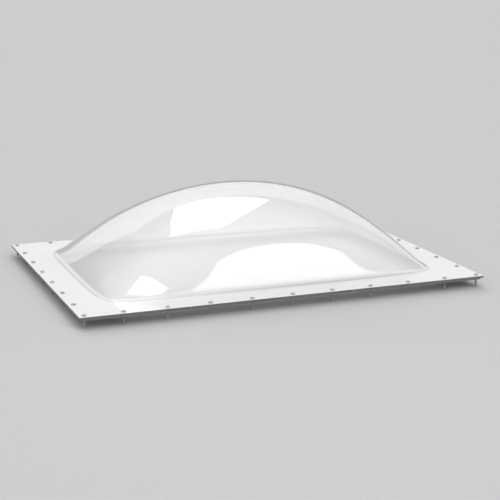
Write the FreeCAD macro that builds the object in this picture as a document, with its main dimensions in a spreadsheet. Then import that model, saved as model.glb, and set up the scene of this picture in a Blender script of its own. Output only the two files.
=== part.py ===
import FreeCAD, Part
import Sketcher
import math
import os

# Roof skylight for a caravan: a sheet blown into a low dome with a flat flange round it,
# bedded on four strips of sealing tape and held down by a rim of pan head screws.
# Axes: +X along the long side, -Y the near long side, +Z up.
# Origin: the middle of the roof plane, which the underside of the sealing tape lies on.

# Driving dimensions in millimetres, except where the note says otherwise
sizes = [
    ("flange_length", 660.0, "flange, along the long side"),
    ("flange_width", 457.0, "flange, along the short side"),
    ("sheet", 3.0, "thickness of the flange"),
    ("dome_length", 568.0, "dome at its sunk rim, along the long side"),
    ("dome_width", 356.0, "dome at its sunk rim, along the short side"),
    ("dome_rise", 130.0, "top of the dome above the top of the flange"),
    ("rim_sink", 8.0, "dome's rim below the top of the flange"),
    ("length_roundness", 0.71, "share of the plain arch in the long section, no unit"),
    ("width_roundness", 0.52, "share of the plain arch in the short section, no unit"),
    ("wall_foot", 3.0, "wall of the dome at its foot, measured level"),
    ("wall_crown", 2.2, "wall of the dome at its top, where blowing thins it"),
    ("foot_bend", 12.0, "radius of the bend from the flange up into the dome"),
    ("seal_thickness", 3.0, "sealing tape, pressed thickness"),
    ("seal_width", 25.0, "sealing tape, width"),
    ("seal_setback", 3.0, "sealing tape, in from the edge of the flange"),
    ("screw_margin", 9.0, "line of screws, in from the edge of the flange"),
    ("corner_gap", 58.0, "corner screw to the next screw"),
    ("side_count", 9, "screws between the corners on a long side, a number"),
    ("end_count", 6, "screws between the corners on a short side, a number"),
    ("thread_radius", 1.75, "screw, radius over the thread"),
    ("neck_radius", 1.95, "screw, radius of the neck through the flange and the tape"),
    ("neck_below", 1.0, "screw, end of the neck below the roof plane"),
    ("shank_length", 19.0, "screw, from under the head to the tip"),
    ("head_radius", 3.3, "screw, radius of the pan head"),
    ("head_height", 2.1, "screw, head above the flange"),
    ("hole_clearance", 0.3, "hole in the flange, round the neck"),
    ("tape_clearance", 0.1, "square hole in the tape, round the neck"),
]

doc = FreeCAD.newDocument("roof_skylight")
sheet = doc.addObject("Spreadsheet::Sheet", "Sizes")
for row, (name, value, note) in enumerate(sizes, start=1):
    sheet.set("A%d" % row, note)
    sheet.set("B%d" % row, str(value))
    sheet.setAlias("B%d" % row, name)
doc.recompute()

# Places that several pieces share, as expressions on the sheet
flangeTop = "(Sizes.seal_thickness + Sizes.sheet)"
screwX = "(Sizes.flange_length / 2 - Sizes.screw_margin)"
screwY = "(Sizes.flange_width / 2 - Sizes.screw_margin)"
firstX = "(%s - Sizes.corner_gap)" % screwX
firstY = "(%s - Sizes.corner_gap)" % screwY
tapeX = "(Sizes.flange_length / 2 - Sizes.seal_setback)"
tapeY = "(Sizes.flange_width / 2 - Sizes.seal_setback)"
tapeInnerX = "(%s - Sizes.seal_width)" % tapeX
tapeInnerY = "(%s - Sizes.seal_width)" % tapeY
sheetHole = "(Sizes.neck_radius + Sizes.hole_clearance)"
tapeHole = "(Sizes.neck_radius + Sizes.tape_clearance)"


def size(name):
    return float(sheet.get(name))


def part(kind, name, **expressions):
    # One solid or boolean of the document, its sizes bound to the sheet
    thing = doc.addObject(kind, name)
    for path, expression in expressions.items():
        thing.setExpression(path.replace("_at_", "Placement.Base."), expression)
    return thing


def originFeature(body, role):
    for feature in body.Origin.OriginFeatures:
        if feature.Role == role:
            return feature
    raise RuntimeError("no " + role)


def newBody(name, base=None):
    body = doc.addObject("PartDesign::Body", name)
    if base:
        body.BaseFeature = base
        doc.recompute()
    return body


def newSketch(body, name, role):
    sketch = body.newObject("Sketcher::SketchObject", name)
    sketch.AttachmentSupport = [(originFeature(body, role), "")]
    sketch.MapMode = "FlatFace"
    return sketch


def bind(sketch, kind, references, name, expression):
    # A dimension of a sketch, tied to the sheet
    value = float(sketch.evalExpression(expression))
    number = sketch.addConstraint(Sketcher.Constraint(kind, *references, value))
    sketch.renameConstraint(number, name)
    sketch.setExpression("Constraints." + name, expression)


def reach(sketch, kind, point, side, name, expression):
    # A point's distance from the sketch's origin, towards the given side of it
    origin = (-1, 1)
    references = origin + point if side > 0 else point + origin
    bind(sketch, kind, references, name, expression)


def addCircle(sketch, name, x, y, radius, sideX=1, sideY=1):
    # A circle x and y from the middle, on the given sides of it
    middleX = sideX * float(sketch.evalExpression(x))
    middleY = sideY * float(sketch.evalExpression(y))
    centre = FreeCAD.Vector(middleX, middleY, 0.0)
    number = sketch.addGeometry(Part.Circle(centre, FreeCAD.Vector(0, 0, 1), 1.0), False)
    reach(sketch, "DistanceX", (number, 3), sideX, name + "X", x)
    reach(sketch, "DistanceY", (number, 3), sideY, name + "Y", y)
    bind(sketch, "Radius", (number,), name + "Radius", radius)


def addRectangle(sketch, name, low, high):
    # A rectangle from its low to its high corner, each as (side, x), (side, y)
    (lowX, lowY), (highX, highY) = [
        [side * float(sketch.evalExpression(expression)) for side, expression in corner]
        for corner in (low, high)
    ]
    outline = [(lowX, lowY), (highX, lowY), (highX, highY), (lowX, highY)]
    points = [FreeCAD.Vector(x, y, 0.0) for x, y in outline]
    lines = [
        sketch.addGeometry(Part.LineSegment(start, end), False)
        for start, end in zip(points, points[1:] + points[:1])
    ]
    for number, line in enumerate(lines):
        following = lines[(number + 1) % 4]
        sketch.addConstraint(Sketcher.Constraint("Coincident", line, 2, following, 1))
        sketch.addConstraint(Sketcher.Constraint("Vertical" if number % 2 else "Horizontal", line))
    for end, line, corner in (("Low", lines[0], low), ("High", lines[2], high)):
        for kind, (side, expression) in zip(("DistanceX", "DistanceY"), corner):
            reach(sketch, kind, (line, 1), side, name + end + kind, expression)


def addSquare(sketch, name, x, y, half, sideX=1, sideY=1):
    # A square x and y from the middle, on the given sides of it
    corners = [], []
    for side, middle in ((sideX, x), (sideY, y)):
        ends = [(side, "(%s - %s)" % (middle, half)), (side, "(%s + %s)" % (middle, half))]
        for corner, end in zip(corners, ends[::side]):
            corner.append(end)
    addRectangle(sketch, name, *corners)


def punch(body, sketch, name):
    # The outlines of a sketch, cut right through both ways
    pocket = body.newObject("PartDesign::Pocket", name)
    pocket.Profile = sketch
    pocket.Type = "ThroughAll"
    pocket.Midplane = True
    body.Tip = pocket
    doc.recompute()
    return pocket


def spread(body, feature, name, axis, count, length):
    # A row of the feature along one axis of the body
    row = body.newObject("PartDesign::LinearPattern", name)
    row.Originals = [feature]
    row.Direction = (originFeature(body, axis), [""])
    row.setExpression("Occurrences", count)
    row.setExpression("Length", length)
    body.Tip = row
    doc.recompute()
    return row


def cutRow(body, name, axis, count, length, places, draw, half):
    # One sketch of first holes, punched and, where a count is given, spread along an axis
    before = body.Shape.Volume
    sketch = newSketch(body, name + "_first", "XY_Plane")
    for number, (x, y, sideX, sideY) in enumerate(places):
        draw(sketch, "hole%d" % number, x, y, half, sideX, sideY)
    hole = punch(body, sketch, name + "_hole")
    if count:
        spread(body, hole, name + "_row", axis, count, length)
    if not body.Shape.Volume < before:
        raise RuntimeError(name + " cuts nothing")


# The blown dome
#
# Height over the flange: (rise + sink) * long arch * short arch - sink.
# Each arch is 1 - k u^2 - (1 - k) u^6 with u from 0 in the middle to 1 at the rim, and its share
# k sets how early it turns down. Their product over a quarter of the dome is one Bezier patch of
# degree 6, and the other quarters are its mirror images. The rim is a flat rectangle, sunk so far
# that the flange cuts the dome where its corners are already round.

degree = 6


def powerPole(power, index):
    # Pole of u to a power, for u from 0 to 1, on a Bezier curve of the dome's degree
    return math.comb(index, power) / math.comb(degree, power)


def archPoles(roundness):
    poles = []
    for index in range(degree + 1):
        plain = powerPole(2, index)
        steep = powerPole(degree, index)
        poles.append(1 - roundness * plain - (1 - roundness) * steep)
    return poles


def quarterPatch(halfLength, halfWidth, rise, sink):
    longArch = archPoles(size("length_roundness"))
    shortArch = archPoles(size("width_roundness"))
    patch = Part.BezierSurface()
    patch.increase(degree, degree)
    for i in range(degree + 1):
        for j in range(degree + 1):
            x = halfLength * powerPole(1, i)
            y = halfWidth * powerPole(1, j)
            z = (rise + sink) * longArch[i] * shortArch[j] - sink
            patch.setPole(i + 1, j + 1, FreeCAD.Vector(x, y, z))
    return patch.toShape()


def domeSolid(name, level, halfLength, halfWidth, rise, sink):
    # The space under one dome surface, down to its sunk rim, standing on the given level
    middle = FreeCAD.Vector(0, 0, 0)
    quarter = quarterPatch(halfLength, halfWidth, rise, sink)
    half = [quarter, quarter.mirror(middle, FreeCAD.Vector(1, 0, 0))]
    crown = half + [face.mirror(middle, FreeCAD.Vector(0, 1, 0)) for face in half]
    rim = Part.makePlane(2 * halfLength, 2 * halfWidth, FreeCAD.Vector(-halfLength, -halfWidth, -sink))
    shell = Part.Compound(crown + [rim])
    shell.sewShape()
    solid = Part.Solid(shell.Shells[0])
    if solid.Volume < 0:
        solid.reverse()
    thing = doc.addObject("Part::Feature", name)
    thing.Shape = solid
    thing.Placement = FreeCAD.Placement(FreeCAD.Vector(0, 0, level), FreeCAD.Rotation())
    return thing


def bendFoot(name, form, level, radius):
    # Rounds the closed loop of edges where a dome surface rises from a flat level
    doc.recompute()
    loop = []
    for number, edge in enumerate(form.Shape.Edges, start=1):
        box = edge.BoundBox
        flat = abs(box.ZMin - level) < 0.01 and abs(box.ZMax - level) < 0.01
        curved = edge.Curve.TypeId != "Part::GeomLine"
        if flat and curved:
            loop.append((number, radius, radius))
    bend = doc.addObject("Part::Fillet", name)
    bend.Base = form
    bend.Edges = loop
    doc.recompute()
    return bend


def makeDome():
    top = size("seal_thickness") + size("sheet")
    under = size("seal_thickness")
    halfLength = size("dome_length") / 2
    halfWidth = size("dome_width") / 2

    # Outside: the dome above the middle of a thick plate, and the bend at its foot
    outerCrown = domeSolid("outer_crown", top, halfLength, halfWidth, size("dome_rise"), size("rim_sink"))
    plate = part(
        "Part::Box", "plate",
        Length="Sizes.flange_length",
        Width="Sizes.flange_width",
        Height="Sizes.sheet + Sizes.rim_sink",
        _at_x="-Sizes.flange_length / 2",
        _at_y="-Sizes.flange_width / 2",
        _at_z="Sizes.seal_thickness - Sizes.rim_sink",
    )
    outerForm = part("Part::Fuse", "outer_form")
    outerForm.Base = plate
    outerForm.Tool = outerCrown
    outerBend = bendFoot("outer_bend", outerForm, top, size("foot_bend"))

    # Inside: the same dome less its wall, over a slab of air that leaves the flange its sheet
    wallFoot = size("wall_foot")
    innerRise = size("dome_rise") - size("wall_crown")
    innerCrown = domeSolid("inner_crown", top, halfLength - wallFoot, halfWidth - wallFoot,
                           innerRise, size("rim_sink"))
    air = part(
        "Part::Box", "air_under_flange",
        Length="Sizes.flange_length * 2",
        Width="Sizes.flange_width * 2",
        Height="Sizes.rim_sink * 2",
        _at_x="-Sizes.flange_length",
        _at_y="-Sizes.flange_width",
        _at_z="Sizes.seal_thickness - Sizes.rim_sink * 2",
    )
    innerForm = part("Part::Fuse", "inner_form")
    innerForm.Base = air
    innerForm.Tool = innerCrown
    innerBend = bendFoot("inner_bend", innerForm, under, size("foot_bend") + size("sheet"))

    shell = part("Part::Cut", "blown_sheet")
    shell.Base = outerBend
    shell.Tool = innerBend
    doc.recompute()

    # Screw holes round the flange: the corners, then the rows between them
    body = newBody("outer_dome", shell)
    corners = [(screwX, screwY, sideX, sideY) for sideX in (-1, 1) for sideY in (-1, 1)]
    sides = [(firstX, screwY, -1, sideY) for sideY in (-1, 1)]
    ends = [(screwX, firstY, sideX, -1) for sideX in (-1, 1)]
    cutRow(body, "corner", "X_Axis", None, None, corners, addCircle, sheetHole)
    cutRow(body, "side", "X_Axis", "Sizes.side_count", firstX + " * 2",
           sides, addCircle, sheetHole)
    cutRow(body, "end", "Y_Axis", "Sizes.end_count", firstY + " * 2",
           ends, addCircle, sheetHole)
    return body


# Sealing tape: long strips along the sides, short ones butted between them at the ends, each
# slit square where the screws go through

def makeTape(name, low, high):
    body = newBody(name)
    sketch = newSketch(body, name + "_outline", "XY_Plane")
    addRectangle(sketch, "strip", low, high)
    strip = body.newObject("PartDesign::Pad", name + "_strip")
    strip.Profile = sketch
    strip.setExpression("Length", "Sizes.seal_thickness")
    doc.recompute()
    return body


def makeSideTape(name, side):
    nearY, farY = ((-1, tapeY), (-1, tapeInnerY)) if side < 0 else ((1, tapeInnerY), (1, tapeY))
    body = makeTape(name, [(-1, tapeX), nearY], [(1, tapeX), farY])
    corners = [(screwX, screwY, sideX, side) for sideX in (-1, 1)]
    cutRow(body, name + "_corner", "X_Axis", None, None, corners, addSquare, tapeHole)
    cutRow(body, name + "_side", "X_Axis", "Sizes.side_count", firstX + " * 2",
           [(firstX, screwY, -1, side)], addSquare, tapeHole)
    return body


def makeEndTape(name, side):
    nearX, farX = ((-1, tapeX), (-1, tapeInnerX)) if side < 0 else ((1, tapeInnerX), (1, tapeX))
    body = makeTape(name, [nearX, (-1, tapeInnerY)], [farX, (1, tapeInnerY)])
    cutRow(body, name + "_end", "Y_Axis", "Sizes.end_count", firstY + " * 2",
           [(screwX, firstY, side, -1)], addSquare, tapeHole)
    return body


# Screws: turned from one profile, with the thread plain, a neck above it and a plain head
# seated on the flange

def screwSketch(body, x, y, sideX, sideY):
    sketch = newSketch(body, body.Name + "_profile", "XZ_Plane")
    sketch.setExpression("AttachmentOffset.Base.x", x if sideX > 0 else "-" + x)
    sketch.setExpression("AttachmentOffset.Base.y", flangeTop)
    sketch.setExpression("AttachmentOffset.Base.z", "-" + y if sideY > 0 else y)
    thread = size("thread_radius")
    neck = size("neck_radius")
    head = size("head_radius")
    tip = -size("shank_length")
    step = -(size("seal_thickness") + size("sheet") + size("neck_below"))
    top = size("head_height")
    outline = [
        (0, tip), (thread, tip), (thread, step), (neck, step),
        (neck, 0), (head, 0), (head, top), (0, top),
    ]
    points = [FreeCAD.Vector(across, height, 0) for across, height in outline]
    for start, end in zip(points, points[1:] + points[:1]):
        sketch.addGeometry(Part.LineSegment(start, end), False)
    for line in range(8):
        sketch.addConstraint(Sketcher.Constraint("Coincident", line, 2, (line + 1) % 8, 1))
        sketch.addConstraint(Sketcher.Constraint("Vertical" if line % 2 else "Horizontal", line))
    sketch.addConstraint(Sketcher.Constraint("PointOnObject", 0, 1, -2))
    sketch.addConstraint(Sketcher.Constraint("PointOnObject", 4, 1, -1))
    bind(sketch, "DistanceX", (-1, 1, 1, 1), "threadRadius", "Sizes.thread_radius")
    bind(sketch, "DistanceX", (-1, 1, 3, 1), "neckRadius", "Sizes.neck_radius")
    bind(sketch, "DistanceX", (-1, 1, 5, 1), "headRadius", "Sizes.head_radius")
    bind(sketch, "DistanceY", (0, 1, -1, 1), "shankLength", "Sizes.shank_length")
    bind(sketch, "DistanceY", (2, 1, -1, 1), "neckLength", flangeTop + " + Sizes.neck_below")
    bind(sketch, "DistanceY", (5, 1, 5, 2), "headHeight", "Sizes.head_height")
    return sketch


def makeScrews(name, x, y, sideX, sideY, axis, count, length):
    body = newBody(name)
    sketch = screwSketch(body, x, y, sideX, sideY)
    screw = body.newObject("PartDesign::Revolution", name + "_turned")
    screw.Profile = sketch
    screw.ReferenceAxis = (sketch, ["V_Axis"])
    screw.Angle = 360.0
    doc.recompute()
    return body, spread(body, screw, name + "_row", axis, count, length)


def makeCornerScrews(name):
    body, row = makeScrews(name, screwX, screwY, -1, -1, "X_Axis", "2", screwX + " * 2")
    row.Direction2 = (originFeature(body, "Y_Axis"), [""])
    row.Occurrences2 = 2
    row.setExpression("Length2", screwY + " * 2")
    doc.recompute()
    return body


def makeRowScrews(name, side, along):
    if along == "X_Axis":
        return makeScrews(name, firstX, screwY, -1, side, along, "Sizes.side_count", firstX + " * 2")[0]
    return makeScrews(name, screwX, firstY, side, -1, along, "Sizes.end_count", firstY + " * 2")[0]


pieces = [
    makeDome(),
    makeSideTape("seal_front", -1),
    makeSideTape("seal_back", 1),
    makeEndTape("seal_left", -1),
    makeEndTape("seal_right", 1),
    makeRowScrews("screws_front", -1, "X_Axis"),
    makeRowScrews("screws_back", 1, "X_Axis"),
    makeRowScrews("screws_left", -1, "Y_Axis"),
    makeRowScrews("screws_right", 1, "Y_Axis"),
    makeCornerScrews("screws_corner"),
]
doc.recompute()

for thing in doc.Objects:
    if "Invalid" in thing.State or "Error" in thing.State:
        raise RuntimeError("%s did not build: %s" % (thing.Name, thing.State))
for piece in pieces:
    if piece.Shape.isNull() or not piece.Shape.isValid():
        raise RuntimeError(piece.Label + " has no valid solid")

os.makedirs("parts", exist_ok=True)
for piece in pieces:
    piece.Shape.exportStep("parts/%s.step" % piece.Label)
    box = piece.Shape.optimalBoundingBox(False)
    print("%-14s %2d solids  %10.1f mm3  z %7.2f to %7.2f" % (
        piece.Label, len(piece.Shape.Solids), piece.Shape.Volume, box.ZMin, box.ZMax))
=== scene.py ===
import math

import bpy
import numpy as np
from mathutils import Matrix, Vector
from mathutils.geometry import delaunay_2d_cdt


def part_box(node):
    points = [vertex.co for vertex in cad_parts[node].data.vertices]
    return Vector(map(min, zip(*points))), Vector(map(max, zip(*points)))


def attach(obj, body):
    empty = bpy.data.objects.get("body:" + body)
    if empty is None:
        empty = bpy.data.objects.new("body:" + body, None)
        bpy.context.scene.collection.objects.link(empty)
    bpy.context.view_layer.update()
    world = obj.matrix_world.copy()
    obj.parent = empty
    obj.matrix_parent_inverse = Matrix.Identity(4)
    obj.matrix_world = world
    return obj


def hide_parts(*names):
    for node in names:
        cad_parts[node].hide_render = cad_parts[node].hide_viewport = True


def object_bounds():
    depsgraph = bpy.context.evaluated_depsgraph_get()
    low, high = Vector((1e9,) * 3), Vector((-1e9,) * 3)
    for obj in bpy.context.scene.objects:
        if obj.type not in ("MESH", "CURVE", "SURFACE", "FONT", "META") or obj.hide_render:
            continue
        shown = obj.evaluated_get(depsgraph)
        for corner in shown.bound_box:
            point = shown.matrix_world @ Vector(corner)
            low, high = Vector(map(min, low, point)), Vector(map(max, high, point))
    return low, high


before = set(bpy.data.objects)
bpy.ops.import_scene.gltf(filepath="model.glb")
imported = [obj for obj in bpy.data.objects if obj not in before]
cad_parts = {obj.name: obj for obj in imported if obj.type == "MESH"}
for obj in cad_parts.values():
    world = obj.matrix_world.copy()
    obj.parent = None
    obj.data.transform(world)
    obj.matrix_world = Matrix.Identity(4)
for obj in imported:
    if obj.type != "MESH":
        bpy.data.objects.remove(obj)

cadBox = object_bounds()
print("frame loaded:", len(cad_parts), "nodes")


# shared mesh tools

def unit(vectors):
    # each vector divided by its own length
    return vectors / np.maximum(np.linalg.norm(vectors, axis=-1, keepdims=True), 1e-12)


def gridQuads(rows, columns, closed=False):
    # corner numbers of the cells of a rows by columns grid, the last column joined to the first if closed
    cells = columns if closed else columns - 1
    row, column = np.meshgrid(np.arange(rows - 1), np.arange(cells), indexing="ij")
    following = (column + 1) % columns
    return np.stack([row * columns + column, row * columns + following,
                     (row + 1) * columns + following, (row + 1) * columns + column], axis=-1).reshape(-1, 4)


def block(points, normals, faces, slot=0, shade=0.0):
    # one surface of a mesh, each face wound so that it looks along the normals of its corners
    points, normals = points.reshape(-1, 3), unit(normals.reshape(-1, 3))
    corner = points[faces]
    # a face's own normal: the cross product of its diagonals, or of two sides of a triangle
    facing = np.cross(corner[:, 2] - corner[:, 0], corner[:, -1] - corner[:, 1])
    away = np.einsum("ij,ij->i", facing, normals[faces].mean(axis=1)) < 0
    faces = np.where(away[:, None], faces[:, ::-1], faces)
    shade = np.broadcast_to(shade, len(points))
    return dict(points=points, normals=normals, faces=faces, slot=slot, shade=shade)


weldSteps = 2e7   # steps to a metre: points that round to the same step become one


def makePiece(name, blocks, materials):
    # welds the blocks where their points coincide and gives every face corner its block's own normal
    start = np.cumsum([0] + [len(b["points"]) for b in blocks])
    points = np.concatenate([b["points"] for b in blocks])
    steps = np.round(points * weldSteps).astype(np.int64)
    first, place = np.unique(steps, axis=0, return_index=True, return_inverse=True)[1:]
    place = place.reshape(-1)
    faces, normals, slots = [], [], []
    for offset, b in zip(start, blocks):
        faces += place[b["faces"] + offset].tolist()
        normals.append(b["normals"][b["faces"]].reshape(-1, 3))
        slots.append(np.full(len(b["faces"]), b["slot"]))
    mesh = bpy.data.meshes.new(name)
    mesh.from_pydata(points[first].tolist(), [], faces)
    mesh.polygons.foreach_set("use_smooth", np.ones(len(faces), bool))
    mesh.polygons.foreach_set("material_index", np.concatenate(slots).astype(np.int32))
    mesh.normals_split_custom_set(np.concatenate(normals).tolist())
    # painted shade along the foot of the dome, kept as a point attribute
    shade = np.concatenate([b["shade"] for b in blocks])[first]
    if shade.any():
        kept = mesh.attributes.new("footShade", "FLOAT", "POINT")
        kept.data.foreach_set("value", shade.astype(np.float32))
    for material in materials:
        mesh.materials.append(material)
    mesh.update()
    piece = bpy.data.objects.new(name, mesh)
    bpy.context.scene.collection.objects.link(piece)
    print(name, "-", len(mesh.vertices), "points,", len(faces), "faces")
    return piece


def roundedOutline(halfX, halfY, radius, spacing, corner=5):
    # points and outward directions round a rectangle with round corners, counter-clockwise from the +X side
    points, outward = [], []
    for quarter, (sx, sy) in enumerate(((1, 1), (-1, 1), (-1, -1), (1, -1))):
        angle = math.pi / 2 * quarter + np.linspace(0, math.pi / 2, corner)
        direction = np.stack([np.cos(angle), np.sin(angle)], axis=-1)
        points.append(np.array([sx * (halfX - radius), sy * (halfY - radius)]) + radius * direction)
        outward.append(direction)
    joined, facing = [], []
    for number, length in enumerate((halfX, halfY, halfX, halfY)):
        steps = max(2, round(2 * length / spacing))
        share = np.linspace(0, 1, steps + 1)[1:-1, None]
        joined += [points[number], points[number][-1] * (1 - share) + points[(number + 1) % 4][0] * share]
        facing += [outward[number], np.repeat(outward[number][-1:], steps - 1, axis=0)]
    return np.concatenate(joined), np.concatenate(facing)


def sheetFace(rim, openings, height, up):
    # flat face at one height between a rim and the openings in it, by constrained triangulation
    loops = [rim] + openings
    start = np.cumsum([0] + [len(loop) for loop in loops])
    plan = np.concatenate(loops)
    rings = [list(range(a, b)) for a, b in zip(start, start[1:])]
    flat = [Vector(point) for point in plan.tolist()]
    _, _, triangles, sources, _, loopsRound = delaunay_2d_cdt(flat, [], rings, 0, 1e-9)
    # a triangle stays if only the rim, loop 0, goes round it
    faces = np.array([face for face, around in zip(triangles, loopsRound) if list(around) == [0]])
    origin = np.array([source[0] for source in sources])
    points = np.column_stack([plan, np.full(len(plan), height)])
    normals = np.tile([0.0, 0.0, 1.0 if up else -1.0], (len(plan), 1))
    return block(points, normals, origin[faces])


def holeWall(centre, radius, low, high, sides):
    # wall of a round hole, which looks at its axis
    angle = np.arange(sides) * 2 * math.pi / sides
    ring = np.stack([np.cos(angle), np.sin(angle)], axis=-1)
    plan = np.asarray(centre) + radius * ring
    points = np.stack([np.column_stack([plan, np.full(sides, z)]) for z in (low, high)])
    normals = np.tile(np.column_stack([-ring, np.zeros(sides)]), (2, 1))
    return plan, block(points, normals, gridQuads(2, sides, closed=True))


def plateEdge(outline, profile, low, high, ripple=None):
    # rim of a plate: the outline drawn in by the profile's inset at the profile's share of the height
    plan, facing = outline
    if ripple is not None:
        plan = plan - facing * ripple(plan)[:, None]
    inset, share, out, up = (part[:, None, None] for part in profile)
    grid = (len(inset), len(plan), 1)
    height = np.broadcast_to(low + share * (high - low), grid)
    points = np.concatenate([plan - inset * facing, height], axis=-1)
    normals = np.concatenate([out * facing, np.broadcast_to(up, grid)], axis=-1)
    edge = block(points, normals, gridQuads(len(inset), len(plan), closed=True))
    return points[0][:, :2], points[-1][:, :2], edge


def easedProfile(roundness, thickness, steps=4):
    # quarter arc, straight, quarter arc, from the upper face to the lower: inset, share of height, normal
    turn = np.linspace(0, math.pi / 2, steps)
    drop = roundness / thickness * (1 - np.cos(turn))
    return (roundness * np.concatenate([1 - np.sin(turn), 1 - np.cos(turn)]),
            np.concatenate([1 - drop, roundness / thickness * (1 - np.sin(turn))]),
            np.concatenate([np.sin(turn), np.cos(turn)]),
            np.concatenate([np.cos(turn), -np.sin(turn)]))


def turned(radius, height, sides):
    # points round the Z axis: (radius * cos a, radius * sin a, height), a row for each radius and height
    angle = np.arange(sides) * 2 * math.pi / sides
    shape = np.broadcast_shapes(radius.shape, height.shape, (1, sides))
    radius, height = np.broadcast_to(radius, shape), np.broadcast_to(height, shape)
    return np.stack([radius * np.cos(angle), radius * np.sin(angle), height], axis=-1)


def cap(ring, up, slot=0):
    # fan from a ring of points to their middle, which looks up for 1 and down for -1
    sides = len(ring)
    points = np.vstack([ring, ring.mean(axis=0)])
    corner = np.arange(sides)
    faces = np.column_stack([corner, (corner + 1) % sides, np.full(sides, sides)])
    return block(points, np.tile([0.0, 0.0, up], (sides + 1, 1)), faces, slot)


def moved(blocks, x, y):
    # the same blocks with their points carried sideways
    return [dict(b, points=b["points"] + np.array([x, y, 0.0])) for b in blocks]


# shared shading tools

def addNode(tree, kind, **values):
    # a node with settings by attribute name and inputs by socket name, underscores for spaces
    node = tree.nodes.new(kind)
    for key, value in values.items():
        if hasattr(node, key):
            setattr(node, key, value)
        else:
            node.inputs[key.replace("_", " ")].default_value = value
    return node


def newGroup(name, inputs, outputs):
    # a shader node group with named sockets, and its own input and output nodes
    group = bpy.data.node_groups.new(name, "ShaderNodeTree")
    for title, kind, value in inputs:
        socket = group.interface.new_socket(name=title, in_out="INPUT", socket_type=kind)
        socket.default_value = value
    for title, kind in outputs:
        group.interface.new_socket(name=title, in_out="OUTPUT", socket_type=kind)
    return group, group.nodes.new("NodeGroupInput"), group.nodes.new("NodeGroupOutput")


variationShape = dict(
    blotchDetail=4.0,
    scratchDetail=6.0, scratchTurn=0.6, scratchStretch=14.0,
    scratchFrom=0.62, scratchTo=0.72,   # noise between these shows as a scratch
)


def surfaceVariation():
    # soft blotches and fine scratches: roughness + spread * (blotch - 0.5) + spread * scratch
    group, given, result = newGroup(
        "surfaceVariation",
        [("Roughness", "NodeSocketFloat", 0.1), ("Spread", "NodeSocketFloat", 0.03),
         ("Blotch scale", "NodeSocketFloat", 12.0), ("Scratch scale", "NodeSocketFloat", 60.0)],
        [("Roughness", "NodeSocketFloat"), ("Blotch", "NodeSocketFloat")])
    shape, links = variationShape, group.links
    place = addNode(group, "ShaderNodeTexCoord")
    blotch = addNode(group, "ShaderNodeTexNoise", Detail=shape["blotchDetail"])
    links.new(place.outputs["Object"], blotch.inputs["Vector"])
    links.new(given.outputs["Blotch scale"], blotch.inputs["Scale"])
    across = shape["scratchStretch"]
    stretch = addNode(group, "ShaderNodeMapping", Rotation=(0.0, 0.0, shape["scratchTurn"]),
                      Scale=(1.0, across, across))
    links.new(place.outputs["Object"], stretch.inputs["Vector"])
    fine = addNode(group, "ShaderNodeTexNoise", Detail=shape["scratchDetail"])
    links.new(stretch.outputs[0], fine.inputs["Vector"])
    links.new(given.outputs["Scratch scale"], fine.inputs["Scale"])
    scratch = addNode(group, "ShaderNodeMapRange", From_Min=shape["scratchFrom"], From_Max=shape["scratchTo"])
    links.new(fine.outputs["Fac"], scratch.inputs["Value"])
    centred = addNode(group, "ShaderNodeMath", operation="SUBTRACT")
    links.new(blotch.outputs["Fac"], centred.inputs[0])
    centred.inputs[1].default_value = 0.5
    swing = addNode(group, "ShaderNodeMath", operation="MULTIPLY_ADD")
    links.new(centred.outputs[0], swing.inputs[0])
    links.new(given.outputs["Spread"], swing.inputs[1])
    links.new(given.outputs["Roughness"], swing.inputs[2])
    worn = addNode(group, "ShaderNodeMath", operation="MULTIPLY_ADD")
    links.new(scratch.outputs["Result"], worn.inputs[0])
    links.new(given.outputs["Spread"], worn.inputs[1])
    links.new(swing.outputs[0], worn.inputs[2])
    links.new(worn.outputs[0], result.inputs["Roughness"])
    links.new(blotch.outputs["Fac"], result.inputs["Blotch"])
    return group


variation = surfaceVariation()


def newMaterial(name):
    # a material with one Principled shader on its output
    material = bpy.data.materials.new(name)
    material.use_nodes = True
    tree = material.node_tree
    tree.nodes.clear()
    shader = tree.nodes.new("ShaderNodeBsdfPrincipled")
    output = tree.nodes.new("ShaderNodeOutputMaterial")
    tree.links.new(shader.outputs[0], output.inputs[0])
    return material, shader, output


def dimmed(tree, colour, mask, low, high, depth):
    # the colour times 1 where the mask is low, down to 1 less the depth where it is high
    dim = addNode(tree, "ShaderNodeMapRange", From_Min=low, From_Max=high, To_Min=1.0, To_Max=1.0 - depth)
    tree.links.new(mask, dim.inputs["Value"])
    darker = addNode(tree, "ShaderNodeVectorMath", operation="SCALE")
    tree.links.new(colour, darker.inputs[0])
    tree.links.new(dim.outputs["Result"], darker.inputs["Scale"])
    return darker.outputs["Vector"]


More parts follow.
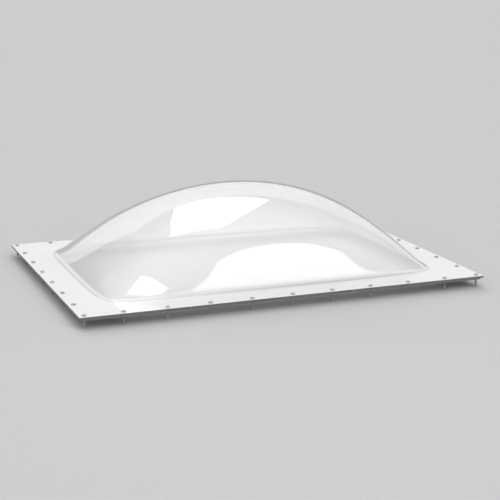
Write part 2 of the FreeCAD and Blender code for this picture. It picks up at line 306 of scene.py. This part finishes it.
def varied(tree, shader, look):
    # the shared variation drives roughness, and its blotches the colour between the look's two
    group = addNode(tree, "ShaderNodeGroup", node_tree=variation)
    for title, key in (("Roughness", "roughness"), ("Spread", "roughnessSpread"),
                       ("Blotch scale", "blotchScale"), ("Scratch scale", "scratchScale")):
        group.inputs[title].default_value = look[key]
    blend = addNode(tree, "ShaderNodeMix", data_type="RGBA")
    ends = [socket for socket in blend.inputs if socket.type == "RGBA"]
    for socket, colour in zip(ends, look["colours"]):
        socket.default_value = (*colour, 1.0)
    tree.links.new(group.outputs["Blotch"], blend.inputs["Factor"])
    colour = [socket for socket in blend.outputs if socket.type == "RGBA"][0]
    # painted shade: darker along the foot bend, by the bell kept on the mesh
    if "footShade" in look:
        foot = addNode(tree, "ShaderNodeAttribute", attribute_name="footShade")
        colour = dimmed(tree, colour, foot.outputs["Fac"], 0.0, 1.0, look["footShade"])
    if "rimShade" in look:
        # painted shade: the sheet seen edge on is darker, and less so near the flange
        low, high, share = look["rimRise"]
        rim = addNode(tree, "ShaderNodeLayerWeight", Blend=0.5)
        place = addNode(tree, "ShaderNodeTexCoord")
        level = addNode(tree, "ShaderNodeSeparateXYZ")
        rise = addNode(tree, "ShaderNodeMapRange", From_Min=low, From_Max=high, To_Min=share)
        fading = addNode(tree, "ShaderNodeMath", operation="MULTIPLY")
        tree.links.new(place.outputs["Object"], level.inputs[0])
        tree.links.new(level.outputs["Z"], rise.inputs["Value"])
        tree.links.new(rim.outputs["Facing"], fading.inputs[0])
        tree.links.new(rise.outputs["Result"], fading.inputs[1])
        colour = dimmed(tree, colour, fading.outputs[0], *look["rimFacing"], look["rimShade"])
    tree.links.new(colour, shader.inputs["Base Color"])
    tree.links.new(group.outputs["Roughness"], shader.inputs["Roughness"])
    return group


def addBump(tree, shader, height, bump):
    # shallow unevenness from a mask: bump is its strength and its depth in metres
    strength, distance = bump
    uneven = addNode(tree, "ShaderNodeBump", Strength=strength, Distance=distance)
    tree.links.new(height, uneven.inputs["Height"])
    tree.links.new(uneven.outputs["Normal"], shader.inputs["Normal"])


def clearMaterial(name, look):
    # gloss sheet that lets part of the light through and is milky for the rest
    material, shader, output = newMaterial(name)
    tree = material.node_tree
    varied(tree, shader, look)
    shader.inputs["Transmission Weight"].default_value = look["clear"]
    shader.inputs["IOR"].default_value = look["index"]
    shader.inputs["Coat Weight"].default_value = look["coat"]
    shader.inputs["Coat Roughness"].default_value = look["coatRoughness"]
    # light on its way to other surfaces goes straight through, less the shadow tint
    through = addNode(tree, "ShaderNodeBsdfTransparent", Color=(*look["shadowTint"], 1.0))
    path = addNode(tree, "ShaderNodeLightPath")
    soft = addNode(tree, "ShaderNodeMath", operation="MAXIMUM")
    tree.links.new(path.outputs["Is Shadow Ray"], soft.inputs[0])
    tree.links.new(path.outputs["Is Diffuse Ray"], soft.inputs[1])
    choice = addNode(tree, "ShaderNodeMixShader")
    tree.links.new(soft.outputs[0], choice.inputs[0])
    tree.links.new(shader.outputs[0], choice.inputs[1])
    tree.links.new(through.outputs[0], choice.inputs[2])
    tree.links.new(choice.outputs[0], output.inputs[0])
    return material


# camera

view = dict(
    place=(-0.7446, -1.8406, 0.5174),
    pitch=13.99, yaw=22.59, roll=0.687,   # degrees
    lens=89.06, sensor=36.0,              # millimetres
    farthest=100.0,
)

pitch, yaw, roll = (math.radians(view[key]) for key in ("pitch", "yaw", "roll"))
ahead = Vector((math.sin(yaw) * math.cos(pitch), math.cos(yaw) * math.cos(pitch), -math.sin(pitch)))
level = Vector((math.cos(yaw), -math.sin(yaw), 0.0))
upright = level.cross(ahead)
across = level * math.cos(roll) + upright * math.sin(roll)
above = upright * math.cos(roll) - level * math.sin(roll)
cameraData = bpy.data.cameras.new("camera")
cameraData.lens = view["lens"]
cameraData.sensor_width = view["sensor"]
cameraData.clip_end = view["farthest"]
camera = bpy.data.objects.new("camera", cameraData)
bpy.context.scene.collection.objects.link(camera)
camera.matrix_world = Matrix.Translation(view["place"]) @ Matrix((
    (across.x, above.x, -ahead.x, 0.0),
    (across.y, above.y, -ahead.y, 0.0),
    (across.z, above.z, -ahead.z, 0.0),
    (0.0, 0.0, 0.0, 1.0)))
bpy.context.scene.camera = camera
bpy.context.scene.view_settings.view_transform = "Standard"


# studio

studio = dict(
    room=0.31,                # light of the plain room all round
    fill=0.96,                # more light from the camera's side, strongest at this direction
    fillFrom=(-158, 25), fillEnd=-0.3,   # it ends where the cosine to that direction is this
    floor=(0.515, 0.515, 0.515),
    floorRings=(0.5, 2.0, 8.0, 24.0), floorSides=96,
    # soft boxes: light, and four to six corners as (degrees clockwise from +Y, degrees up)
    boxSides=6, softness=0.008,
    boxes=dict(
        overhead=(2.8, (4.5, 37), (-4.4, 54.5), (-17, 74), (112, 78), (39, 46)),
        backWall=(0.82, (-17, 6.5), (-13, 36), (60, 36), (60, 6.5)),
        front=(3.9, (162, 14), (159.4, 44.5), (152.5, 47.8), (137.2, 44.3), (135.4, 39.5), (147, 26)),
        leftWall=(0.71, (-20.5, 10), (-31, 43), (-50, 50), (-50, 10)),
    ),
    # narrow strip light over the near left corner: its two ends, its width and its light
    strip=dict(ends=((-0.313, -0.210, 0.6), (-0.008, -0.772, 0.6)), width=0.0165, light=5.0),
    # broad far lamp from behind, for soft shadow only: its direction, how far off it hangs,
    # its width in degrees and its light on the floor
    shade=dict(at=(-6, 29), away=5.0, spread=22.0, light=0.12),
)

sideNames = ["Side %d" % (n + 1) for n in range(studio["boxSides"])]


def skyDirection(azimuth, elevation):
    # unit vector: azimuth clockwise from +Y and elevation over the floor, both in degrees
    azimuth, elevation = math.radians(azimuth), math.radians(elevation)
    return Vector((math.sin(azimuth) * math.cos(elevation), math.cos(azimuth) * math.cos(elevation),
                   math.sin(elevation)))


def softBoxMask():
    # 1 where the direction lies inside all sides of a box, planes through the middle of the sky, 0 outside
    up = (0.0, 0.0, 1.0)
    group, given, result = newGroup(
        "softBox",
        [("Direction", "NodeSocketVector", up)] + [(name, "NodeSocketVector", up) for name in sideNames]
        + [("Softness", "NodeSocketFloat", 0.03)],
        [("Mask", "NodeSocketFloat")])
    product = None
    for name in sideNames:
        side = addNode(group, "ShaderNodeVectorMath", operation="DOT_PRODUCT")
        group.links.new(given.outputs["Direction"], side.inputs[0])
        group.links.new(given.outputs[name], side.inputs[1])
        ramp = addNode(group, "ShaderNodeMapRange", interpolation_type="SMOOTHSTEP")
        group.links.new(side.outputs["Value"], ramp.inputs["Value"])
        group.links.new(given.outputs["Softness"], ramp.inputs["From Max"])
        if product is None:
            product = ramp.outputs["Result"]
        else:
            both = addNode(group, "ShaderNodeMath", operation="MULTIPLY")
            group.links.new(product, both.inputs[0])
            group.links.new(ramp.outputs["Result"], both.inputs[1])
            product = both.outputs[0]
    group.links.new(product, result.inputs["Mask"])
    return group


def lightRoom():
    # the world: a plain room, brighter towards the fill, with the soft boxes laid over it
    world = bpy.data.worlds.new("studio")
    bpy.context.scene.world = world
    world.use_nodes = True
    tree = world.node_tree
    tree.nodes.clear()
    place = addNode(tree, "ShaderNodeTexCoord")
    softBox = softBoxMask()
    towards = addNode(tree, "ShaderNodeVectorMath", operation="DOT_PRODUCT")
    tree.links.new(place.outputs["Generated"], towards.inputs[0])
    towards.inputs[1].default_value = skyDirection(*studio["fillFrom"])
    slope = addNode(tree, "ShaderNodeMapRange", interpolation_type="SMOOTHSTEP")
    tree.links.new(towards.outputs["Value"], slope.inputs["Value"])
    slope.inputs["From Min"].default_value = studio["fillEnd"]
    slope.inputs["To Min"].default_value = studio["room"]
    slope.inputs["To Max"].default_value = studio["room"] + studio["fill"]
    total = slope.outputs["Result"]
    for name, (light, *corners) in studio["boxes"].items():
        corners = [skyDirection(*corner) for corner in corners]
        middle = sum(corners, Vector()).normalized()
        mask = addNode(tree, "ShaderNodeGroup", node_tree=softBox, label=name)
        tree.links.new(place.outputs["Generated"], mask.inputs["Direction"])
        mask.inputs["Softness"].default_value = studio["softness"]
        for number, sideName in enumerate(sideNames):
            # a box of fewer corners repeats its last side
            last = min(number, len(corners) - 1)
            side = corners[last].cross(corners[(last + 1) % len(corners)]).normalized()
            mask.inputs[sideName].default_value = side if side.dot(middle) > 0 else -side
        lit = addNode(tree, "ShaderNodeMix", data_type="FLOAT")
        tree.links.new(mask.outputs["Mask"], lit.inputs["Factor"])
        tree.links.new(total, lit.inputs["A"])
        lit.inputs["B"].default_value = light
        total = lit.outputs["Result"]
    background = addNode(tree, "ShaderNodeBackground")
    background.inputs["Color"].default_value = (1.0, 1.0, 1.0, 1.0)
    tree.links.new(total, background.inputs["Strength"])
    output = tree.nodes.new("ShaderNodeOutputWorld")
    tree.links.new(background.outputs[0], output.inputs[0])


def hangLamp(name, kind, place, turn, energy, **values):
    # a lamp that the camera does not see
    lamp = bpy.data.lights.new(name, kind)
    lamp.energy = energy
    for key, value in values.items():
        setattr(lamp, key, value)
    holder = bpy.data.objects.new(name, lamp)
    holder.location = place
    holder.rotation_euler = turn
    holder.visible_camera = False
    bpy.context.scene.collection.objects.link(holder)
    return holder


def hangLamps():
    # the strip: a radiance L sends out pi * L for each square metre
    strip = studio["strip"]
    start, end = (Vector(point) for point in strip["ends"])
    width, length = strip["width"], (end - start).length
    along = math.atan2(end.y - start.y, end.x - start.x) - math.pi / 2
    hangLamp("strip", "AREA", (start + end) / 2, (0.0, 0.0, along), strip["light"] * math.pi * width * length,
             shape="RECTANGLE", size=width, size_y=length)
    # the far lamp: the floor gets its energy times the sine of its height, and pi * L from a plain sky of L
    shade = studio["shade"]
    towards = skyDirection(*shade["at"])
    holder = hangLamp("shade", "SUN", towards * shade["away"], towards.to_track_quat("Z", "Y").to_euler(),
                      shade["light"] * math.pi / towards.z, angle=math.radians(shade["spread"]))
    holder.visible_glossy = False
    holder.visible_transmission = False


def layFloor():
    # a flat disc under the tips of the screws
    radius = np.array(studio["floorRings"])[:, None]
    sides = studio["floorSides"]
    points = turned(radius, np.full_like(radius, cadBox[0][2]), sides)
    up = np.tile([0.0, 0.0, 1.0], (points.size // 3, 1))
    rings = block(points, up, gridQuads(len(points), sides, closed=True))
    material, shader, _ = newMaterial("floorPaper")
    shader.inputs["Base Color"].default_value = (*studio["floor"], 1.0)
    shader.inputs["Roughness"].default_value = 1.0
    shader.inputs["Specular IOR Level"].default_value = 0.0
    makePiece("floor", [rings, cap(points[0], 1)], [material])


lightRoom()
hangLamps()
layFloor()
print("camera, floor and lights set")


# blown sheet: dome and flange

sheetShape = dict(
    halfLength=0.284, halfWidth=0.178, rise=0.130, sink=0.008,   # dome at its sunk rim
    lengthArch=0.71, widthArch=0.52,                             # share of the plain arch
    wallFoot=0.003, wallCrown=0.0022, bend=0.012,
    flangeTop=0.006, flangeUnder=0.003,
    cornerRadius=0.0016, edgeRound=0.0005, holeRadius=0.00225,
    cells=72,                                                    # grid cells in half the dome
    bendSteps=10, halvings=48, bellAt=0.7, bellWidth=0.25,       # the bell in shares of the bend
    edgeSpacing=0.05, holeSides=32,
)

# what all faces of the sheet share
acrylicLook = dict(index=1.49, coatRoughness=0.02, blotchScale=9.0, scratchScale=26.0)

# the flange keeps the sheet's full thickness and milkiness, and the blown crown is thinner and clearer
crownLook = dict(
    acrylicLook,
    colours=((0.955, 0.965, 0.965), (0.985, 0.99, 0.99)),
    roughness=0.03, roughnessSpread=0.02,
    clear=0.40, coat=1.0, shadowTint=(0.70, 0.705, 0.705),
    # rimShade: painted shade on the limb, driven by the Layer Weight facing
    rimShade=0.85, rimFacing=(0.87, 0.95),   # how dark the limb is, and from where to where, 1 is edge on
    rimRise=(0.015, 0.05, 0.85),             # it is full from the second height, and this share at the first
)

flangeLook = dict(
    acrylicLook,
    colours=((0.835, 0.845, 0.845), (0.875, 0.88, 0.88)),
    roughness=0.035, roughnessSpread=0.03,
    # footShade: depth of the painted shade line along the foot bend
    clear=0.14, coat=0.3, shadowTint=(0.08, 0.085, 0.085), footShade=0.28,
)

insideLook = dict(
    acrylicLook,
    colours=((0.97, 0.98, 0.98), (0.99, 0.995, 0.995)),
    roughness=0.02, roughnessSpread=0.02,
    # footShade: depth of the painted shade line along the foot bend
    clear=0.97, coat=0.0, shadowTint=(0.97, 0.975, 0.975), footShade=1.0,
)

# painted shade: the cut edge and the walls of the holes are coloured dark grey for the dark line the edge
# shows
edgeLook = dict(
    acrylicLook,
    colours=((0.12, 0.125, 0.125), (0.18, 0.185, 0.185)),
    roughness=0.28, roughnessSpread=0.15,
    clear=0.25, coat=0.0, shadowTint=(0.6, 0.61, 0.61),
)


def arch(share, u):
    # 1 - share * u^2 - (1 - share) * u^6, and its slope
    return 1 - share * u**2 - (1 - share) * u**6, -2 * share * u - 6 * (1 - share) * u**5


def domeSurface(shell, x, y):
    # height over the flange: (rise + sink) * long arch * short arch - sink, and the normal there
    u, v = np.abs(x) / shell["halfLength"], np.abs(y) / shell["halfWidth"]
    longArch, longSlope = arch(sheetShape["lengthArch"], u)
    shortArch, shortSlope = arch(sheetShape["widthArch"], v)
    full = shell["rise"] + sheetShape["sink"]
    height = sheetShape["flangeTop"] + full * longArch * shortArch - sheetShape["sink"]
    slopeX = full * longSlope * shortArch * np.sign(x) / shell["halfLength"]
    slopeY = full * longArch * shortSlope * np.sign(y) / shell["halfWidth"]
    return height, unit(np.stack([-slopeX, -slopeY, np.ones_like(height)], axis=-1))


def reachOfBend(shell, u, v):
    # how far out along each ray a ball rolled round the foot touches the dome, found by halving
    low, high = np.zeros_like(u), np.ones_like(u)
    for _ in range(sheetShape["halvings"]):
        middle = (low + high) / 2
        x, y = middle * u * shell["halfLength"], middle * v * shell["halfWidth"]
        height, normal = domeSurface(shell, x, y)
        above = height + shell["ball"] * normal[..., 2] > shell["level"] + shell["ball"]
        low, high = np.where(above, middle, low), np.where(above, high, middle)
    return low


def crownAndBend(shell):
    # the dome on a square grid of rings, and the arc of the rolling ball from its edge to the flange
    cells = sheetShape["cells"]
    line = np.linspace(-1, 1, 2 * cells + 1)
    u, v = np.meshgrid(line, line, indexing="ij")
    share = np.maximum(np.abs(u), np.abs(v))
    divisor = np.maximum(share, 1e-9)
    rayU, rayV = u / divisor, v / divisor
    reach = share * reachOfBend(shell, rayU, rayV)
    x, y = reach * rayU * shell["halfLength"], reach * rayV * shell["halfWidth"]
    height, normal = domeSurface(shell, x, y)
    crown = np.stack([x, y, height], axis=-1)
    # once round the border of the grid
    side = 2 * cells
    rising, falling = np.arange(side), np.arange(side, 0, -1)
    first, last = np.zeros(side, int), np.full(side, side)
    rows = np.concatenate([last, falling, first, rising])
    columns = np.concatenate([rising, last, falling, first])
    edge, edgeNormal = crown[rows, columns], normal[rows, columns]
    centre = edge + shell["ball"] * edgeNormal
    # from the centre of the ball, the direction turns evenly from the edge's normal to upright
    angle = np.arccos(np.clip(edgeNormal[:, 2], -1, 1))[None, :, None]
    turn = np.linspace(0, 1, sheetShape["bendSteps"] + 1)[:, None, None]
    direction = np.sin((1 - turn) * angle) * edgeNormal + np.sin(turn * angle) * np.array([0, 0, 1.0])
    direction = direction / np.sin(angle)
    bend = centre - shell["ball"] * direction
    bend[0] = edge
    bend[-1, :, 2] = shell["level"]
    out = shell["outward"]
    # a bell over the steps of the bend: painted shade, the darker line that the foot shows
    offset = np.linspace(0, 1, len(bend)) - sheetShape["bellAt"]
    bell = np.exp(-(offset / sheetShape["bellWidth"]) ** 2)
    bell[[0, -1]] = 0.0
    bell = np.repeat(bell, len(edge))
    return bend[-1, :, :2], [
        block(crown, out * normal, gridQuads(side + 1, side + 1)),
        block(bend, out * direction, gridQuads(len(bend), len(edge), closed=True), shade=bell),
    ]


screwCounts = dict(screws_front=9, screws_back=9, screws_left=6, screws_right=6)


def screwPlaces():
    # centres of the screws of each node, spaced evenly between the two ends of its box
    places = {}
    for name, count in screwCounts.items():
        low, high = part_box(name)
        middle = (low + high) / 2
        along = 0 if high.x - low.x > high.y - low.y else 1
        radius = (high[1 - along] - low[1 - along]) / 2
        line = np.linspace(low[along] + radius, high[along] - radius, count)
        across = np.full(count, middle[1 - along])
        places[name] = np.stack([line, across] if along == 0 else [across, line], axis=-1)
    low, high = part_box("screws_corner")
    radius = places["screws_front"][0, 1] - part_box("screws_front")[0][1]
    x, y = high.x - radius, high.y - radius
    places["screws_corner"] = np.array([[x, y], [-x, y], [-x, -y], [x, -y]])
    return places


def makeSheet():
    # one closed skin: crown, bend and flange outside, the same inside, the rim and the walls of the holes
    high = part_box("outer_dome")[1]
    shape = sheetShape
    under, top = shape["flangeUnder"], shape["flangeTop"]
    outer = dict(halfLength=shape["halfLength"], halfWidth=shape["halfWidth"], rise=shape["rise"],
                 level=top, ball=shape["bend"], outward=1)
    inner = dict(halfLength=shape["halfLength"] - shape["wallFoot"],
                 halfWidth=shape["halfWidth"] - shape["wallFoot"],
                 rise=shape["rise"] - shape["wallCrown"],
                 level=under, ball=shape["bend"] + top - under, outward=-1)
    outerFoot, outside = crownAndBend(outer)
    innerFoot, inside = crownAndBend(inner)
    outline = roundedOutline(high.x, high.y, shape["cornerRadius"], shape["edgeSpacing"])
    upperRim, lowerRim, edge = plateEdge(outline, easedProfile(shape["edgeRound"], top - under), under, top)
    holes, walls = [], []
    for centre in np.concatenate(list(screws.values())):
        plan, wall = holeWall(centre, shape["holeRadius"], under, top, shape["holeSides"])
        holes.append(plan)
        walls.append(wall)
    inside.append(sheetFace(lowerRim, [innerFoot] + holes, under, False))
    outside.append(sheetFace(upperRim, [outerFoot] + holes, top, True))
    materials = [clearMaterial("milkyCrown", crownLook), clearMaterial("glossInside", insideLook),
                 clearMaterial("sawnEdge", edgeLook), clearMaterial("milkyFlange", flangeLook)]
    # the blocks of each material, in the order above
    parts = (outside[:1], inside, [edge] + walls, outside[1:])
    crown, within, sawn, flange = ([dict(b, slot=slot) for b in part] for slot, part in enumerate(parts))
    sheet = makePiece("blownSheet", crown + flange + within + sawn, materials)
    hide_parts("outer_dome")
    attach(sheet, "root")


screws = screwPlaces()
makeSheet()
print("sheet made")


# sealing tape under the flange

tapeShape = dict(
    under=0.00003,                    # kept off the flange by this much
    bulge=0.0002, lean=0.4, rows=9,   # belly of the edge, slope of its normals, and rows of points over it
    cornerRadius=0.0014, edgeSpacing=0.003,
    holeRadius=0.00203, holeSides=20,
    ripples=((0.00011, 0.061, 0.4), (0.00007, 0.023, 1.9), (0.00004, 0.009, 3.1)),  # depth, length, start
)

tapeLook = dict(
    colours=((0.17, 0.17, 0.17), (0.24, 0.24, 0.238)),
    roughness=0.62, roughnessSpread=0.2, index=1.5, specular=0.3,
    blotchScale=45.0, scratchScale=90.0, bump=(0.3, 0.0004),
)


def tapeRipple(plan):
    # how far the pressed edge draws in: a sum of sines of the distance along both sides
    along = plan[:, 0] + plan[:, 1]
    waves = [depth * (1 + np.sin(2 * math.pi * along / length + start))
             for depth, length, start in tapeShape["ripples"]]
    return np.sum(waves, axis=0)


def tapeMaterial():
    # soft dull tape: blotches in colour and roughness, and a shallow unevenness
    material, shader, _ = newMaterial("butylTape")
    group = varied(material.node_tree, shader, tapeLook)
    shader.inputs["IOR"].default_value = tapeLook["index"]
    shader.inputs["Specular IOR Level"].default_value = tapeLook["specular"]
    addBump(material.node_tree, shader, group.outputs["Blotch"], tapeLook["bump"])
    return material


def makeTape(name, material):
    # the inset of the edge is the bulge times (2 * share of the height - 1) squared, plus the ripple
    low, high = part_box(name)
    middle, half = (low + high) / 2, (high - low) / 2
    shape, rows, lean = tapeShape, tapeShape["rows"], tapeShape["lean"]
    top = high.z - shape["under"]
    share = np.linspace(1, 0, rows)
    profile = (shape["bulge"] * (2 * share - 1) ** 2, share, np.ones(rows), np.linspace(lean, -lean, rows))
    outline = roundedOutline(half.x, half.y, shape["cornerRadius"], shape["edgeSpacing"])
    upperRim, lowerRim, edge = plateEdge(outline, profile, low.z, top, tapeRipple)
    holes, walls = [], []
    for x, y in np.concatenate(list(screws.values())) - np.array([middle.x, middle.y]):
        if abs(x) < half.x and abs(y) < half.y:
            plan, wall = holeWall((x, y), shape["holeRadius"], low.z, top, shape["holeSides"])
            holes.append(plan)
            walls.append(wall)
    blocks = [edge, sheetFace(upperRim, holes, top, True), sheetFace(lowerRim, holes, low.z, False)] + walls
    tape = makePiece(name.replace("seal", "tape"), moved(blocks, middle.x, middle.y), [material])
    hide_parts(name)
    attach(tape, "root")


tapeFinish = tapeMaterial()
for name in ("seal_front", "seal_back", "seal_left", "seal_right"):
    makeTape(name, tapeFinish)
print("tape made")


# pan head screws

screwShape = dict(
    headRadius=0.0033, crown=0.0006, headEdge=0.0008, shoulderRows=6,
    faceRings=((0.02, 0.8, 20), (0.85, 1.0, 4)),   # from, to and how many, in shares of the flat face
    recessReach=0.0018, recessWidth=0.00042, recessDepth=0.0013, recessFlare=0.00014,
    recessRise=0.55,                               # share of its depth that it has lost at its ends
    neckRadius=0.00193, neckLength=0.0065, neckEase=0.0006,
    threadRadius=0.00173, coreRadius=0.00125, pitch=0.0013, rowsPerTurn=7,
    ridgeTop=1.25, ridgeSlope=3.2,                 # a ridge with a flat top, over the shares of a turn
    tipLength=0.0032, tipStart=0.04, tipPower=0.8,
    sides=36, turnEach=0.7, turnPerMetre=11,       # radians: no two screws stop at the same angle
)

screwLook = dict(
    colours=((0.36, 0.365, 0.37), (0.47, 0.475, 0.48)),
    roughness=0.36, roughnessSpread=0.2, metal=0.7,
    blotchScale=260.0, scratchScale=500.0, bump=(0.15, 0.0001),
)

# painted shade: the neck and thread, which stand in the shade under the flange, are darker than the head
threadLook = dict(
    screwLook,
    colours=((0.27, 0.27, 0.272), (0.35, 0.35, 0.352)),
    roughness=0.5, metal=0.4,
)


def smooth(value, low, high):
    # 0 below low, 1 above high, an S curve between
    share = np.clip((value - low) / (high - low), 0, 1)
    return share * share * (3 - 2 * share)


def gridNormals(points):
    # normals of a grid closed round its columns, from the steps to the neighbours on both sides
    down = np.gradient(points, axis=0)
    around = np.roll(points, -1, axis=1) - np.roll(points, 1, axis=1)
    return unit(np.cross(down, around))


def headFace(top):
    # crown that falls with the square of the radius, less a cross with flared sides
    shape, sides = screwShape, screwShape["sides"]
    angle = np.arange(sides) * 2 * math.pi / sides
    flare, reach = shape["recessFlare"], shape["recessReach"]
    ring = shape["headRadius"] - shape["headEdge"]
    radius = ring * np.concatenate([np.linspace(*rings) for rings in shape["faceRings"]])[:, None]
    height = top - shape["crown"] * (radius / shape["headRadius"]) ** 2
    x, y = np.abs(radius * np.cos(angle)), np.abs(radius * np.sin(angle))
    near, far = np.minimum(x, y), np.maximum(x, y)
    cross = 1 - smooth(near, shape["recessWidth"] - flare, shape["recessWidth"] + flare)
    cross = cross * (1 - smooth(far, reach - 2 * flare, reach))
    depth = shape["recessDepth"] * (1 - shape["recessRise"] * far / reach)
    return turned(radius, height - cross * np.maximum(depth, 0), sides)


def screwThread(end, tip):
    # core radius plus a ridge that climbs one pitch a turn, and runs out at the neck and the tip
    shape, sides = screwShape, screwShape["sides"]
    angle = np.arange(sides) * 2 * math.pi / sides
    core, pitch, start = shape["coreRadius"], shape["pitch"], shape["tipStart"]
    rows = int((end - tip) / pitch * shape["rowsPerTurn"])
    height = np.linspace(end, tip, rows)[:, None]
    phase = (height / pitch + angle / (2 * math.pi)) % 1.0
    ridge = np.clip(shape["ridgeTop"] - shape["ridgeSlope"] * np.abs(phase - 0.5), 0, 1)
    taper = np.clip((height - tip) / shape["tipLength"], 0, 1) ** shape["tipPower"]
    runOut = smooth(end - height, 0, pitch)
    radius = (core + (shape["threadRadius"] - core) * ridge * runOut) * (start + (1 - start) * taper)
    return turned(radius, height, sides)


def column(*values):
    # the values below each other, one to a row
    return np.array(values)[:, None]


def screwBlocks(seat, top, tip):
    # one closed screw: face, shoulder, skirt and under side of the head, neck, thread, and a cap at each end
    shape, sides = screwShape, screwShape["sides"]
    rim, neckRadius, edge = shape["headRadius"], shape["neckRadius"], shape["headEdge"]
    face = headFace(top)
    ring = rim - edge
    start = top - shape["crown"] * (ring / rim) ** 2
    turn = np.linspace(0, math.pi / 2, shape["shoulderRows"])[:, None]
    shoulder = turned(ring + edge * np.sin(turn), start - edge * (1 - np.cos(turn)), sides)
    skirt = turned(column(rim, rim), column(start - edge, seat), sides)
    under = turned(column(rim, neckRadius), column(seat, seat), sides)
    end = seat - shape["neckLength"]
    neck = turned(column(neckRadius, neckRadius, shape["coreRadius"]),
                  column(seat, end + shape["neckEase"], end), sides)
    thread = screwThread(end, tip)
    parts = []
    for points, slot in ((face, 0), (shoulder, 0), (skirt, 0), (under, 0), (neck, 1), (thread, 1)):
        parts.append(block(points, gridNormals(points), gridQuads(len(points), sides, closed=True), slot))
    return parts + [cap(face[0], 1, 0), cap(thread[-1], -1, 1)]


def screwMaterial(name, look):
    # dull coated steel: metal in part, blotched and slightly uneven
    material, shader, _ = newMaterial(name)
    group = varied(material.node_tree, shader, look)
    shader.inputs["Metallic"].default_value = look["metal"]
    addBump(material.node_tree, shader, group.outputs["Blotch"], look["bump"])
    return material


def makeScrews(name, places, materials):
    # one screw, turned and carried to each of its places
    low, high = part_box(name)
    one = screwBlocks(sheetShape["flangeTop"], high.z, low.z)
    blocks = []
    for number, (x, y) in enumerate(places):
        turn = screwShape["turnEach"] * number + screwShape["turnPerMetre"] * x
        cos, sin = math.cos(turn), math.sin(turn)
        matrix = np.array([[cos, sin, 0], [-sin, cos, 0], [0, 0, 1.0]])
        spun = [dict(b, points=b["points"] @ matrix, normals=b["normals"] @ matrix) for b in one]
        blocks += moved(spun, x, y)
    piece = makePiece(name.replace("screws", "panScrews"), blocks, materials)
    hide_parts(name)
    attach(piece, "root")


screwFinish = [screwMaterial("zincHead", screwLook), screwMaterial("threadPaintedShade", threadLook)]
for name, places in screws.items():
    makeScrews(name, places, screwFinish)
print("screws made")
